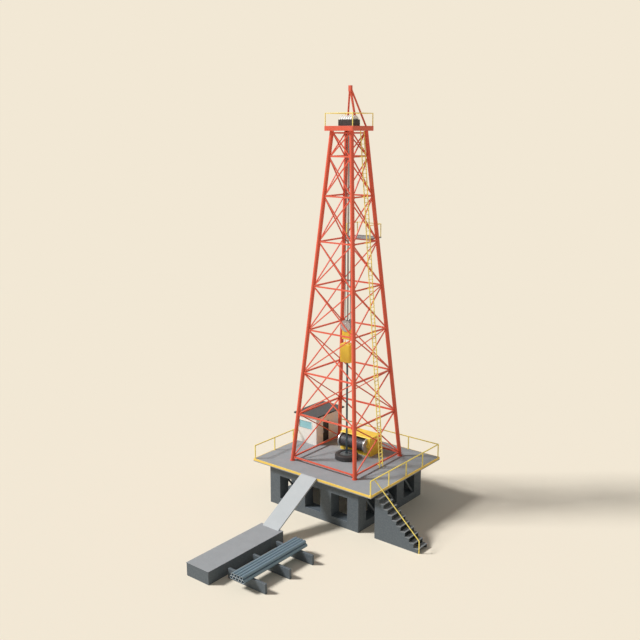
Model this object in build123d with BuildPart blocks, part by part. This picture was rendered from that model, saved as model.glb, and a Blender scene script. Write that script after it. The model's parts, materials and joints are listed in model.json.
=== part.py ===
from build123d import *
import math
import os

os.makedirs("parts", exist_ok=True)

# All sizes are millimetres. The origin is the well centre at ground level, +Z is up,
# -Y is the side with the pipe ramp and the catwalk, +X is the side with the stairs.

# Clearances: between round fixed pieces, and round a turning shaft or disc.
JOINT_GAP = 0.5
RUN_GAP = 0.5
SHEAVE_CLEAR = 25

# Substructure: four deep box frames in a square, each with three square-cornered openings.
SUB_HALF_X = 4320
SUB_HALF_Y = 4300
SUB_DEPTH = 1000
WIN_W = 1500
SIDE_WIN_W = 1540
WIN_PITCH = 2540
WIN_Z0 = 600
WIN_Z1 = 2460
SIDE_BRACE_W = 90
SIDE_BRACE_INSET = 200
SIDE_BRACE_LAP = 20

# Drill floor, with a yellow strip round its upper edge.
FLOOR_TOP = 3456
FLOOR_T = 230
FLOOR_X0 = -5720
FLOOR_X1 = 5705
FLOOR_Y0 = -4720
FLOOR_Y1 = 4800
EDGE_T = 60
EDGE_H = 165
WELL_HOLE_R = 420
FLOOR_UNDER = FLOOR_TOP - FLOOR_T
EDGE_Z0 = FLOOR_TOP - EDGE_H

# Handrails.
RAIL_H = 1100
RAIL_W = 56
RAIL_INSET = 45
RAIL_BAYS = 4
RAIL_LEFT_POSTS = 3

# Pipe ramp, catwalk and rack.
RAMP_W = 1500
RAMP_T = 100
RAMP_FOOT_Y = -9150
RAMP_SHOE = 180
RAMP_LIP_UP = 25
RAMP_LIP_IN = 50
RAMP_LIP_OUT = 60
RAMP_SIDE_GAP = 10
RAMP_SEAT_GAP = 1
CAT_HALF_X = 1030
CAT_Y0 = -16300
CAT_Y1 = -8900
CAT_H = 950
CAT_LID_T = 40
CAT_LID_OUT = 20
SLEEPER_X0 = 1350
SLEEPER_X1 = 4670
SLEEPER_W = 200
SLEEPER_H = 700
SLEEPER_Y = (-14730, -12350, -9970)
PIPE_R = 125
PIPE_BORE_R = 100
PIPE_SIDE_GAP = 6
PIPE_X = 2980
PIPE_Y0 = -15650
PIPE_Y1 = -9300
PIPES_LOW = 5

# Stairs on the +X side.
STAIR_Y0 = -4210
STAIR_Y1 = -2980
STEPS = 11
GOING = 371
STAIR_GAP = 1
STRINGER_T = 60
TREAD_T = 45
TREAD_GAP = 2
TREAD_NOSE = 20
STAIR_RAIL_IN = 60
STAIR_RAIL_LOW = 950

# Derrick: four round legs that lean in, and a flat lattice on each side between them.
LEG_BASE = 3050
LEG_TOP = 892
LEG_R0 = 145
LEG_R1 = 115
LEG_SIDES = 24
CROWN_UNDER = 28906
GIRTS = (290, 3840, 7200, 10570, 13970, 17350, 20720, 23620, 25300)
GIRT_W = 100
DIAG_W = 66
DERRICK_H = CROWN_UNDER - FLOOR_TOP
SLOPE = (LEG_BASE - LEG_TOP) / DERRICK_H
STRETCH = math.sqrt(1 + SLOPE ** 2)

# Crown: platform with a slot for the lines, rail, block frame, sheaves and gin pole.
CROWN_HALF = 1285
CROWN_T = 350
CROWN_RAIL_H = 925
CROWN_RAIL_INSET = 45
CROWN_SLOT_HALF_X = 615
CROWN_SLOT_HALF_Y = 330
BLOCK_HALF_X = 690
BLOCK_HALF_Y = 450
BLOCK_H = 455
BLOCK_WALL = 55
BLOCK_ROUND = 70
SHEAVE_R = 375
SHEAVE_UP = 370
SHEAVE_HALF = 600
SHEAVE_COUNT = 6
SHEAVE_GROOVE = 45
SHEAVE_SLOT = 100
CROWN_SHAFT_R = 60
APEX_Z = 32120
APEX_Y = 130
APEX_HALF_X = 150
APEX_HALF_Y = 110
APEX_H = 450
POLE_W = 100
POLE_FOOT_X = 860
POLE_FOOT_Y = 940
POLE_HEAD_X = 52
CROWN_TOP = CROWN_UNDER + CROWN_T
SHEAVE_Z = CROWN_TOP + SHEAVE_UP
SHEAVE_PITCH = 2 * SHEAVE_HALF / SHEAVE_COUNT

# Hoist: travelling block, links and top drive on the well centre line.
TD_HALF_X = 470
TD_HALF_Y = 350
TD_Z0 = 11406
TD_Z1 = 12870
TD_ROUND = 70
TD_EASE = 30
TD_SOCKET = 200
TB_HALF_X = 350
TB_HALF_Y = 260
TB_Z0 = 13236
TB_Z1 = 14050
TB_ROUND = 50
TB_CHEEK = 60
TB_CHEEK_HALF_X = 150
TB_CHEEK_UP = 150
TB_SHEAVE_R = 450
TB_SHEAVE_Z = 14300
TB_SHEAVE_Y = 195
TB_SHEAVE_T = 220
TB_GROOVE = 50
TB_SLOT = 100
TB_HUB_R = 150
TB_HUB_OUT = 15
TB_PIN_R = 60
LINK_X = 225
LINK_R = 35
STRING_R = 80
STRING_Z0 = 1250
LINE_R = 22
LINE_GAP = 1

# Rotary table.
RT_R = 935
RT_H = 410
RT_ROUND = 110
RT_SLOPE = 32
RT_SEAT_H = 180
RT_BORE_R = 220
TABLE_R = 530
TABLE_GAP = 30
TABLE_H = 190
TABLE_EASE = 15
TABLE_BORE = 130
BUSH_R0 = 240
BUSH_R1 = 260
BUSH_H = 50

# Drawworks.
DW_X0 = -1650
DW_X1 = 1390
DW_Y0 = 1300
DW_Y1 = 2850
DW_H = 1530
DW_ROUND = 90
DRUM_X0 = -1485
DRUM_X1 = 1075
DRUM_R = 450
DRUM_UP = 870
DRUM_CLEAR = 15
FLANGE_R = 570
FLANGE_T = 110
FLANGE_CLEAR = 30
DRUM_SHAFT_R = 70
DRUM_BOSS_R = 150
DRUM_BOSS_L = 150
SHAFT_END_GAP = 5
DRUM_Z = FLOOR_TOP + DRUM_UP

# Driller's cabin at the left rear of the floor.
DH_X0 = -5700
DH_X1 = -3550
DH_Y0 = 570
DH_Y1 = 4050
DH_H = 2390
DH_WALL = 80
DH_BASE = 60
DH_ROOF_T = 120
DH_ROOF_OVER = 150
DOOR_Y0 = 1460
DOOR_Y1 = 2240
DOOR_H = 1740
DOOR_T = 40
DOOR_GAP = 6
WIN_X0 = -5380
WIN_X1 = -4050
WIN_SILL = 1260
WIN_HEAD = 1900
PANE_IN = 30
PANE_T = 20
PANE_GAP = 1
DH_Z0 = FLOOR_TOP + DH_BASE
DH_Z1 = FLOOR_TOP + DH_H

# Derrickman's platform on the rear face.
MB_HALF_X = 1150
MB_Y0 = 1230
MB_Y1 = 2720
MB_GIRT = 5
MB_UP = 165
MB_T = 100
MB_RAIL_H = 980
MB_RAIL_W = 50
MB_RAIL_INSET = 40
MB_TOP = FLOOR_TOP + GIRTS[MB_GIRT] + MB_UP

# Ladder outside the +X face.
LAD_Y = 80
LAD_HALF_W = 240
LAD_OFF = 250
LAD_BAR = 44
LAD_END = 20
RUNG_PITCH = 300
RUNG_FIRST = 300
RUNG_LAST = 100
RUNG_W = 26
LAD_BRACKET_H = 60


def box_between(x0, x1, y0, y1, z0, z1, mode=Mode.ADD):
    """Add a block between two corners to the part being built."""
    with Locations(((x0 + x1) / 2, (y0 + y1) / 2, (z0 + z1) / 2)):
        Box(x1 - x0, y1 - y0, z1 - z0, mode=mode)


def bar_along(points, width, side):
    """Add a square bar along a bent line, with two of its faces square to the direction named side."""
    with BuildLine() as path:
        Polyline(*points)
    line = path.wires()[0]
    with BuildSketch(Plane(origin=line @ 0, x_dir=side, z_dir=line % 0)) as section:
        Rectangle(width, width)
    sweep(section.sketch, path=line, transition=Transition.RIGHT)


def frame_outline(half_length, opening):
    """Draw the side view of one box frame: a plate with three openings in a row."""
    with Locations((0, FLOOR_UNDER / 2)):
        Rectangle(2 * half_length, FLOOR_UNDER)
    with Locations((0, (WIN_Z0 + WIN_Z1) / 2)):
        with GridLocations(WIN_PITCH, 1, 3, 1):
            Rectangle(opening, WIN_Z1 - WIN_Z0, mode=Mode.SUBTRACT)


# Substructure.
with BuildPart() as substructure_front:
    with BuildSketch(Plane.XZ.offset(SUB_HALF_Y)):
        frame_outline(SUB_HALF_X, WIN_W)
    extrude(amount=-SUB_DEPTH)
substructure_front.part.label = "substructure_front"

with BuildPart() as substructure_rear:
    with BuildSketch(Plane.XZ.offset(-SUB_HALF_Y)):
        frame_outline(SUB_HALF_X, WIN_W)
    extrude(amount=SUB_DEPTH)
substructure_rear.part.label = "substructure_rear"

SIDE_HALF = SUB_HALF_Y - SUB_DEPTH


def side_braces(x):
    """Add the three slanted bars that cross the openings of one side frame."""
    w = SIDE_BRACE_W
    lap = SIDE_BRACE_LAP
    for k in (-1, 0, 1):
        y0 = k * WIN_PITCH - SIDE_WIN_W / 2
        y1 = k * WIN_PITCH + SIDE_WIN_W / 2
        with BuildSketch(Plane.YZ.offset(x - w / 2)) as outline:
            Polygon((y0 - lap, WIN_Z1 + lap), (y0 - lap, WIN_Z1 - w), (y1 - w, WIN_Z0 - lap),
                    (y1 + lap, WIN_Z0 - lap), (y1 + lap, WIN_Z0 + w), (y0 + w, WIN_Z1 + lap), align=None)
            Rectangle(2 * SIDE_HALF, 2 * FLOOR_UNDER, mode=Mode.INTERSECT)
        extrude(outline.sketch, amount=w)


with BuildPart() as substructure_right:
    with BuildSketch(Plane.YZ.offset(SUB_HALF_X)):
        frame_outline(SIDE_HALF, SIDE_WIN_W)
    extrude(amount=-SUB_DEPTH)
    side_braces(SUB_HALF_X - SIDE_BRACE_INSET)
substructure_right.part.label = "substructure_right"

with BuildPart() as substructure_left:
    with BuildSketch(Plane.YZ.offset(-SUB_HALF_X)):
        frame_outline(SIDE_HALF, SIDE_WIN_W)
    extrude(amount=SUB_DEPTH)
    side_braces(-SUB_HALF_X + SIDE_BRACE_INSET)
substructure_left.part.label = "substructure_left"

# Drill floor and its edge strip, which stands on the floor's lower plate.
with BuildPart() as drill_floor:
    box_between(FLOOR_X0, FLOOR_X1, FLOOR_Y0, FLOOR_Y1, FLOOR_UNDER, EDGE_Z0)
    box_between(FLOOR_X0 + EDGE_T, FLOOR_X1 - EDGE_T, FLOOR_Y0 + EDGE_T, FLOOR_Y1 - EDGE_T,
                EDGE_Z0, FLOOR_TOP)
    with Locations((0, 0, FLOOR_TOP)):
        Hole(WELL_HOLE_R)
drill_floor.part.label = "drill_floor"

with BuildPart() as floor_edge:
    box_between(FLOOR_X0, FLOOR_X1, FLOOR_Y0, FLOOR_Y1, EDGE_Z0, FLOOR_TOP)
    box_between(FLOOR_X0 + EDGE_T, FLOOR_X1 - EDGE_T, FLOOR_Y0 + EDGE_T, FLOOR_Y1 - EDGE_T,
                EDGE_Z0, FLOOR_TOP, mode=Mode.SUBTRACT)
    box_between(-RAMP_W / 2 - RAMP_SIDE_GAP, RAMP_W / 2 + RAMP_SIDE_GAP, FLOOR_Y0, FLOOR_Y0 + EDGE_T,
                EDGE_Z0, FLOOR_TOP, mode=Mode.SUBTRACT)
floor_edge.part.label = "floor_edge"

# Handrails of the floor.
RAIL_X0 = FLOOR_X0 + RAIL_INSET + EDGE_T
RAIL_X1 = FLOOR_X1 - RAIL_INSET - EDGE_T
RAIL_Y0 = FLOOR_Y0 + RAIL_INSET + EDGE_T
RAIL_Y1 = FLOOR_Y1 - RAIL_INSET - EDGE_T
RAIL_Z = FLOOR_TOP + RAIL_H - RAIL_W / 2


def rail_run(points, posts, z_foot=FLOOR_TOP, z_rail=RAIL_Z, width=RAIL_W):
    """Add one handrail of square tube: a bent top rail through points and a post under each of posts."""
    bar_along([(x, y, z_rail) for x, y in points], width, (0, 0, 1))
    for x, y in posts:
        with Locations((x, y, (z_foot + z_rail) / 2)):
            Box(width, width, z_rail - z_foot)


pitch_y = (RAIL_Y1 - RAIL_Y0) / RAIL_BAYS
pitch_x = (RAIL_X1 - RAIL_X0) / RAIL_BAYS

with BuildPart() as handrail_left:
    rail_run([(RAIL_X0, RAIL_Y0 - RAIL_W / 2), (RAIL_X0, DH_Y0 - JOINT_GAP)],
             [(RAIL_X0, RAIL_Y0 + k * pitch_y) for k in range(RAIL_LEFT_POSTS)])
handrail_left.part.label = "handrail_left"

with BuildPart() as handrail_rear:
    rail_run([(RAIL_X0, DH_Y1 + JOINT_GAP), (RAIL_X0, RAIL_Y1), (RAIL_X1 - RAIL_W / 2 - JOINT_GAP, RAIL_Y1)],
             [(RAIL_X0 + k * pitch_x, RAIL_Y1) for k in range(RAIL_BAYS)])
handrail_rear.part.label = "handrail_rear"

with BuildPart() as handrail_right:
    rail_run([(RAIL_X1, RAIL_Y0 - RAIL_W / 2), (RAIL_X1, RAIL_Y1 + RAIL_W / 2)],
             [(RAIL_X1, RAIL_Y0 + k * pitch_y) for k in range(RAIL_BAYS + 1)])
handrail_right.part.label = "handrail_right"

# Pipe ramp, hooked over the floor's edge and standing on the catwalk.
with BuildPart() as pipe_ramp:
    hook_y = FLOOR_Y0 + EDGE_T - RAMP_SEAT_GAP
    with BuildSketch(Plane.YZ.offset(-RAMP_W / 2)):
        Polygon((hook_y, FLOOR_TOP), (hook_y, FLOOR_TOP - RAMP_T), (FLOOR_Y0, FLOOR_TOP - RAMP_T),
                (RAMP_FOOT_Y + RAMP_SHOE, CAT_H), (RAMP_FOOT_Y, CAT_H),
                (FLOOR_Y0 - RAMP_LIP_OUT, FLOOR_TOP + RAMP_LIP_UP),
                (FLOOR_Y0 + RAMP_LIP_IN, FLOOR_TOP + RAMP_LIP_UP), align=None)
    extrude(amount=RAMP_W)
pipe_ramp.part.label = "pipe_ramp"

with BuildPart() as catwalk:
    lid = CAT_H - CAT_LID_T
    box_between(-CAT_HALF_X, CAT_HALF_X, CAT_Y0, CAT_Y1, 0, lid)
    box_between(-CAT_HALF_X - CAT_LID_OUT, CAT_HALF_X + CAT_LID_OUT, CAT_Y0 - CAT_LID_OUT, CAT_Y1,
                lid, CAT_H)
catwalk.part.label = "catwalk"

# Pipe rack and its pipes, the upper row lying in the hollows of the lower one.
with BuildPart() as rack_sleepers:
    for y in SLEEPER_Y:
        box_between(SLEEPER_X0, SLEEPER_X1, y - SLEEPER_W / 2, y + SLEEPER_W / 2, 0, SLEEPER_H)
rack_sleepers.part.label = "rack_sleepers"

PIPE_PITCH = 2 * PIPE_R + PIPE_SIDE_GAP
PIPE_Z1 = SLEEPER_H + PIPE_R
PIPE_Z2 = PIPE_Z1 + math.sqrt((2 * PIPE_R + JOINT_GAP) ** 2 - (PIPE_PITCH / 2) ** 2)


def pipe_layer(count, z):
    """Add a row of open tubes along Y at one height."""
    with BuildSketch(Plane.XZ.offset(-PIPE_Y0)) as ends:
        with Locations((PIPE_X, z)):
            with GridLocations(PIPE_PITCH, 1, count, 1):
                Circle(PIPE_R)
                Circle(PIPE_BORE_R, mode=Mode.SUBTRACT)
    extrude(ends.sketch, amount=-(PIPE_Y1 - PIPE_Y0))


with BuildPart() as pipes_lower:
    pipe_layer(PIPES_LOW, PIPE_Z1)
pipes_lower.part.label = "pipes_lower"

with BuildPart() as pipes_upper:
    pipe_layer(PIPES_LOW - 1, PIPE_Z2)
pipes_upper.part.label = "pipes_upper"

# Stairs: two stepped side plates, a tread on each step, and one handrail.
STAIR_X0 = FLOOR_X1 + STAIR_GAP
RISE = FLOOR_TOP / STEPS
STAIR_X1 = STAIR_X0 + (STEPS - 1) * GOING


def step_top(k):
    """Height of the top of tread number k, counted down from the floor."""
    return FLOOR_TOP - k * RISE


with BuildPart() as stair_sides:
    steps = [(STAIR_X0, 0)]
    for k in range(1, STEPS):
        for x in (STAIR_X0 + (k - 1) * GOING, STAIR_X0 + k * GOING):
            steps.append((x, step_top(k) - TREAD_T))
    steps.append((STAIR_X1, 0))
    for y in (STAIR_Y0, STAIR_Y1 - STRINGER_T):
        with BuildSketch(Plane.XZ.offset(-y)):
            Polygon(*steps, align=None)
        extrude(amount=-STRINGER_T)
stair_sides.part.label = "stair_sides"

with BuildPart() as stair_treads:
    for k in range(1, STEPS):
        x = STAIR_X0 + (k - 1) * GOING
        box_between(x + TREAD_GAP, x + GOING + TREAD_NOSE, STAIR_Y0, STAIR_Y1,
                    step_top(k) - TREAD_T, step_top(k))
stair_treads.part.label = "stair_treads"

with BuildPart() as stair_handrail:
    rail_y = STAIR_Y0 + STAIR_RAIL_IN
    rail_end = STAIR_X1 + STAIR_RAIL_IN
    bar_along([(RAIL_X1, rail_y, RAIL_Z), (rail_end, rail_y, STAIR_RAIL_LOW), (rail_end, rail_y, 0)],
              RAIL_W, (0, 1, 0))
    cut = 2 * RAIL_W
    box_between(RAIL_X1 - cut, RAIL_X1 + RAIL_W / 2 + JOINT_GAP, rail_y - cut, rail_y + cut,
                RAIL_Z - cut, RAIL_Z + cut, mode=Mode.SUBTRACT)
stair_handrail.part.label = "stair_handrail"


# Derrick legs.
def leg(sx, sy):
    """Add one leaning tapered leg, its round drawn with many flat sides that end level."""
    with BuildSketch(Plane.XY.offset(FLOOR_TOP)) as foot:
        with Locations((sx * LEG_BASE, sy * LEG_BASE)):
            RegularPolygon(LEG_R0, LEG_SIDES)
    with BuildSketch(Plane.XY.offset(CROWN_UNDER)) as head:
        with Locations((sx * LEG_TOP, sy * LEG_TOP)):
            RegularPolygon(LEG_R1, LEG_SIDES)
    loft([foot.sketch, head.sketch], ruled=True)


with BuildPart() as derrick_legs:
    for sx in (-1, 1):
        for sy in (-1, 1):
            leg(sx, sy)
derrick_legs.part.label = "derrick_legs"


# Derrick faces.
def face_plane(nx, ny):
    """Plane through the leg centre lines of the face that looks along (nx, ny)."""
    return Plane(origin=(nx * LEG_BASE, ny * LEG_BASE, FLOOR_TOP), x_dir=(-ny, nx, 0),
                 z_dir=(nx, ny, SLOPE))


def bar_2d(p, q, width):
    """Add a straight bar from p to q to the sketch being drawn."""
    dx, dy = q[0] - p[0], q[1] - p[1]
    with Locations(((p[0] + q[0]) / 2, (p[1] + q[1]) / 2)):
        Rectangle(math.hypot(dx, dy), width, rotation=math.degrees(math.atan2(dy, dx)))


def half_at(height):
    """Half the distance between leg centre lines at a height above the floor."""
    return LEG_BASE - SLOPE * height


def between_legs():
    """Trim the sketch to the space between the two legs of a face."""
    top = DERRICK_H * STRETCH
    b0 = LEG_BASE - LEG_R0 - JOINT_GAP
    b1 = LEG_TOP - LEG_R1 - JOINT_GAP
    Polygon((-b0, 0), (b0, 0), (b1, top), (-b1, top), align=None, mode=Mode.INTERSECT)


def lattice(nx, ny, first_bay):
    """Add one face of the derrick: level girts and an X of bars in each bay from first_bay up."""
    plane = face_plane(nx, ny)
    with BuildSketch(plane) as girts:
        for h in GIRTS:
            bar_2d((-half_at(h), h * STRETCH), (half_at(h), h * STRETCH), GIRT_W)
        between_legs()
    extrude(girts.sketch, amount=GIRT_W / 2, both=True)
    with BuildSketch(plane) as crosses:
        for low, high in list(zip(GIRTS[:-1], GIRTS[1:]))[first_bay:-1]:
            for s in (-1, 1):
                bar_2d((s * half_at(low), low * STRETCH), (-s * half_at(high), high * STRETCH), DIAG_W)
        between_legs()
    extrude(crosses.sketch, amount=DIAG_W / 2, both=True)


with BuildPart() as derrick_face_front:
    lattice(0, -1, 1)
derrick_face_front.part.label = "derrick_face_front"

with BuildPart() as derrick_face_right:
    lattice(1, 0, 0)
derrick_face_right.part.label = "derrick_face_right"

with BuildPart() as derrick_face_rear:
    lattice(0, 1, 0)
derrick_face_rear.part.label = "derrick_face_rear"

with BuildPart() as derrick_face_left:
    lattice(-1, 0, 0)
derrick_face_left.part.label = "derrick_face_left"

# Crown platform, rail, block frame, sheaves and gin pole.
with BuildPart() as crown_platform:
    box_between(-CROWN_HALF, CROWN_HALF, -CROWN_HALF, CROWN_HALF, CROWN_UNDER, CROWN_TOP)
    box_between(-CROWN_SLOT_HALF_X, CROWN_SLOT_HALF_X, -CROWN_SLOT_HALF_Y, CROWN_SLOT_HALF_Y,
                CROWN_UNDER, CROWN_TOP, mode=Mode.SUBTRACT)
crown_platform.part.label = "crown_platform"

with BuildPart() as crown_handrail:
    c = CROWN_HALF - CROWN_RAIL_INSET
    zr = CROWN_TOP + CROWN_RAIL_H - RAIL_W / 2
    with BuildSketch(Plane.XY.offset(zr)):
        Rectangle(2 * c + RAIL_W, 2 * c + RAIL_W)
        Rectangle(2 * c - RAIL_W, 2 * c - RAIL_W, mode=Mode.SUBTRACT)
    extrude(amount=RAIL_W / 2, both=True)
    with Locations((0, 0, (CROWN_TOP + zr) / 2)):
        with GridLocations(2 * c, 2 * c, 2, 2):
            Box(RAIL_W, RAIL_W, zr - CROWN_TOP)
crown_handrail.part.label = "crown_handrail"

with BuildPart() as crown_block_frame:
    with BuildSketch(Plane.XY.offset(CROWN_TOP)):
        RectangleRounded(2 * BLOCK_HALF_X, 2 * BLOCK_HALF_Y, BLOCK_ROUND)
        Rectangle(2 * (BLOCK_HALF_X - BLOCK_WALL), 2 * (BLOCK_HALF_Y - BLOCK_WALL), mode=Mode.SUBTRACT)
    extrude(amount=BLOCK_H)
    with BuildSketch(Plane.YZ.offset(-BLOCK_HALF_X)):
        with Locations((0, SHEAVE_Z)):
            Circle(CROWN_SHAFT_R + RUN_GAP)
    extrude(amount=2 * BLOCK_HALF_X, mode=Mode.SUBTRACT)
crown_block_frame.part.label = "crown_block_frame"

with BuildPart() as crown_sheaves:
    with BuildSketch(Plane.XZ):
        Rectangle(2 * SHEAVE_HALF, SHEAVE_R, align=(Align.CENTER, Align.MIN))
        for k in range(SHEAVE_COUNT):
            with Locations((-SHEAVE_HALF + (k + 0.5) * SHEAVE_PITCH, SHEAVE_R)):
                Rectangle(SHEAVE_SLOT, 2 * SHEAVE_GROOVE, mode=Mode.SUBTRACT)
    revolve(axis=Axis.X)
    with Locations(Location((0, 0, 0), (0, 90, 0))):
        Cylinder(CROWN_SHAFT_R, 2 * (BLOCK_HALF_X - SHAFT_END_GAP))
crown_sheaves.part.position = (0, 0, SHEAVE_Z)
crown_sheaves.part.label = "crown_sheaves"

with BuildPart() as gin_pole:
    for s in (-1, 0, 1):
        bar_along([(s * POLE_FOOT_X, POLE_FOOT_Y, CROWN_TOP - POLE_W),
                   (s * POLE_HEAD_X, APEX_Y, APEX_Z - APEX_H / 2)], POLE_W, (1, 0, 0))
    box_between(-APEX_HALF_X, APEX_HALF_X, APEX_Y - APEX_HALF_Y, APEX_Y + APEX_HALF_Y,
                APEX_Z - APEX_H, APEX_Z)
    box_between(-CROWN_HALF, CROWN_HALF, 0, CROWN_HALF, CROWN_UNDER, CROWN_TOP, mode=Mode.SUBTRACT)
gin_pole.part.label = "gin_pole"

# Derrickman's platform.
with BuildPart() as monkey_board:
    box_between(-MB_HALF_X, MB_HALF_X, MB_Y0, MB_Y1, MB_TOP - MB_T, MB_TOP)
monkey_board.part.label = "monkey_board"

with BuildPart() as monkey_board_rail:
    x = MB_HALF_X - MB_RAIL_INSET
    y0, y1 = MB_Y0 + MB_RAIL_INSET, MB_Y1 - MB_RAIL_INSET
    bends = [(-x, y0), (-x, y1), (x, y1), (x, y0)]
    rail_run(bends, bends, MB_TOP, MB_TOP + MB_RAIL_H, MB_RAIL_W)
monkey_board_rail.part.label = "monkey_board_rail"

# Ladder, held off the face by a bracket on each stile at each girt.
with BuildPart() as ladder:
    foot = Plane(origin=(LEG_BASE + LAD_OFF, LAD_Y, FLOOR_TOP), x_dir=(0, 1, 0), z_dir=(1, 0, SLOPE))
    length = DERRICK_H * STRETCH
    stile = LAD_HALF_W - LAD_BAR / 2
    rungs = int((length - RUNG_FIRST - RUNG_LAST) // RUNG_PITCH)
    with BuildSketch(foot):
        with Locations((0, length / 2)):
            with GridLocations(2 * stile, 1, 2, 1):
                Rectangle(LAD_BAR, length - 2 * LAD_END)
        with Locations((0, RUNG_FIRST + (rungs - 1) * RUNG_PITCH / 2)):
            with GridLocations(1, RUNG_PITCH, 1, rungs):
                Rectangle(2 * stile, RUNG_W)
    extrude(amount=LAD_BAR / 2, both=True)
    with BuildSketch(foot.offset(-LAD_BAR / 2)):
        for h in GIRTS[:-1]:
            with Locations((0, h * STRETCH)):
                with GridLocations(2 * stile, 1, 2, 1):
                    Rectangle(LAD_BAR, LAD_BRACKET_H)
    extrude(amount=-(LAD_OFF / STRETCH - LAD_BAR / 2 - GIRT_W / 2 - JOINT_GAP))
ladder.part.label = "ladder"

# Hoist.
with BuildPart() as travelling_block:
    with BuildSketch(Plane.XY.offset(TB_Z0)):
        RectangleRounded(2 * TB_HALF_X, 2 * TB_HALF_Y, TB_ROUND)
    extrude(amount=TB_Z1 - TB_Z0)
    box_between(-TB_CHEEK_HALF_X, TB_CHEEK_HALF_X, -TB_CHEEK, TB_CHEEK, TB_Z0,
                TB_SHEAVE_Z + TB_CHEEK_UP)
    recess = TB_SHEAVE_Y - TB_SHEAVE_T / 2 - TB_HUB_OUT - RUN_GAP
    for y, way in ((-recess, 1), (recess, -1)):
        with BuildSketch(Plane.XZ.offset(-y)) as round_recess:
            with Locations((0, TB_SHEAVE_Z)):
                Circle(TB_SHEAVE_R + SHEAVE_CLEAR)
        extrude(round_recess.sketch, amount=way * TB_SHEAVE_R, mode=Mode.SUBTRACT)
    with Locations(Location((0, 0, TB_SHEAVE_Z), (90, 0, 0))):
        Cylinder(TB_PIN_R + RUN_GAP, 2 * TB_SHEAVE_R, mode=Mode.SUBTRACT)
    with Locations((0, 0, (TD_Z1 + TB_Z0) / 2)):
        with GridLocations(2 * LINK_X, 1, 2, 1):
            Cylinder(LINK_R, TB_Z0 - TD_Z1)
travelling_block.part.label = "travelling_block"

with BuildPart() as block_sheaves:
    for s in (-1, 1):
        with BuildSketch(Plane.YZ) as disc:
            with Locations((s * TB_SHEAVE_Y, 0)):
                Rectangle(TB_SHEAVE_T, TB_SHEAVE_R, align=(Align.CENTER, Align.MIN))
                Rectangle(TB_SHEAVE_T + 2 * TB_HUB_OUT, TB_HUB_R, align=(Align.CENTER, Align.MIN))
            with Locations((s * TB_SHEAVE_Y, TB_SHEAVE_R)):
                Rectangle(TB_SLOT, 2 * TB_GROOVE, mode=Mode.SUBTRACT)
        revolve(disc.sketch, axis=Axis.Y)
    with Locations(Location((0, 0, 0), (90, 0, 0))):
        Cylinder(TB_PIN_R, 2 * TB_SHEAVE_Y)
block_sheaves.part.position = (0, 0, TB_SHEAVE_Z)
block_sheaves.part.label = "block_sheaves"

with BuildPart() as top_drive:
    with BuildSketch(Plane.XY.offset(TD_Z0)):
        RectangleRounded(2 * TD_HALF_X, 2 * TD_HALF_Y, TD_ROUND)
    extrude(amount=TD_Z1 - TD_Z0)
    chamfer(top_drive.edges().group_by(Axis.Z)[0] + top_drive.edges().group_by(Axis.Z)[-1], TD_EASE)
    with BuildSketch(Plane.XY.offset(TD_Z0)):
        Circle(STRING_R + RUN_GAP)
    extrude(amount=TD_SOCKET, mode=Mode.SUBTRACT)
top_drive.part.label = "top_drive"

with BuildPart() as drill_string:
    with BuildSketch(Plane.XY.offset(STRING_Z0)):
        Circle(STRING_R)
    extrude(amount=TD_Z0 + TD_SOCKET - SHAFT_END_GAP - STRING_Z0)
drill_string.part.label = "drill_string"

# Four lines from the grooves of the block's sheaves up to the crown's two middle grooves.
LINE_X = SHEAVE_PITCH / 2
LINE_Y = TB_SHEAVE_Y
block_floor = TB_SHEAVE_R - TB_GROOVE
crown_floor = SHEAVE_R - SHEAVE_GROOVE
line_low = TB_SHEAVE_Z + math.sqrt(block_floor ** 2 - (LINE_X - LINE_R) ** 2) + LINE_GAP
line_high = SHEAVE_Z - math.sqrt(crown_floor ** 2 - (LINE_Y - LINE_R) ** 2) - LINE_GAP
with BuildPart() as drilling_lines:
    with BuildSketch(Plane.XY.offset(line_low)):
        with GridLocations(2 * LINE_X, 2 * LINE_Y, 2, 2):
            Circle(LINE_R)
    extrude(amount=line_high - line_low)
drilling_lines.part.label = "drilling_lines"

# Rotary table: a cast ring, its rim eased in two slopes, and the turning table in its seat.
with BuildPart() as rotary_housing:
    with BuildSketch(Plane.XZ):
        with Locations((0, FLOOR_TOP)):
            Polygon((RT_BORE_R, 0), (RT_R, 0), (RT_R, RT_H - RT_ROUND),
                    (RT_R - RT_SLOPE, RT_H - RT_SLOPE), (RT_R - RT_ROUND, RT_H),
                    (TABLE_R + TABLE_GAP, RT_H), (TABLE_R + TABLE_GAP, RT_SEAT_H),
                    (RT_BORE_R, RT_SEAT_H), align=None)
    revolve(axis=Axis.Z)
rotary_housing.part.label = "rotary_housing"

with BuildPart() as rotary_turntable:
    with BuildSketch(Plane.XZ):
        with Locations((0, FLOOR_TOP + RT_SEAT_H + JOINT_GAP)):
            Polygon((TABLE_BORE, 0), (TABLE_R, 0), (TABLE_R, TABLE_H - TABLE_EASE),
                    (TABLE_R - TABLE_EASE, TABLE_H), (BUSH_R1, TABLE_H), (BUSH_R0, TABLE_H + BUSH_H),
                    (TABLE_BORE, TABLE_H + BUSH_H), align=None)
    revolve(axis=Axis.Z)
rotary_turntable.part.label = "rotary_turntable"

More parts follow.
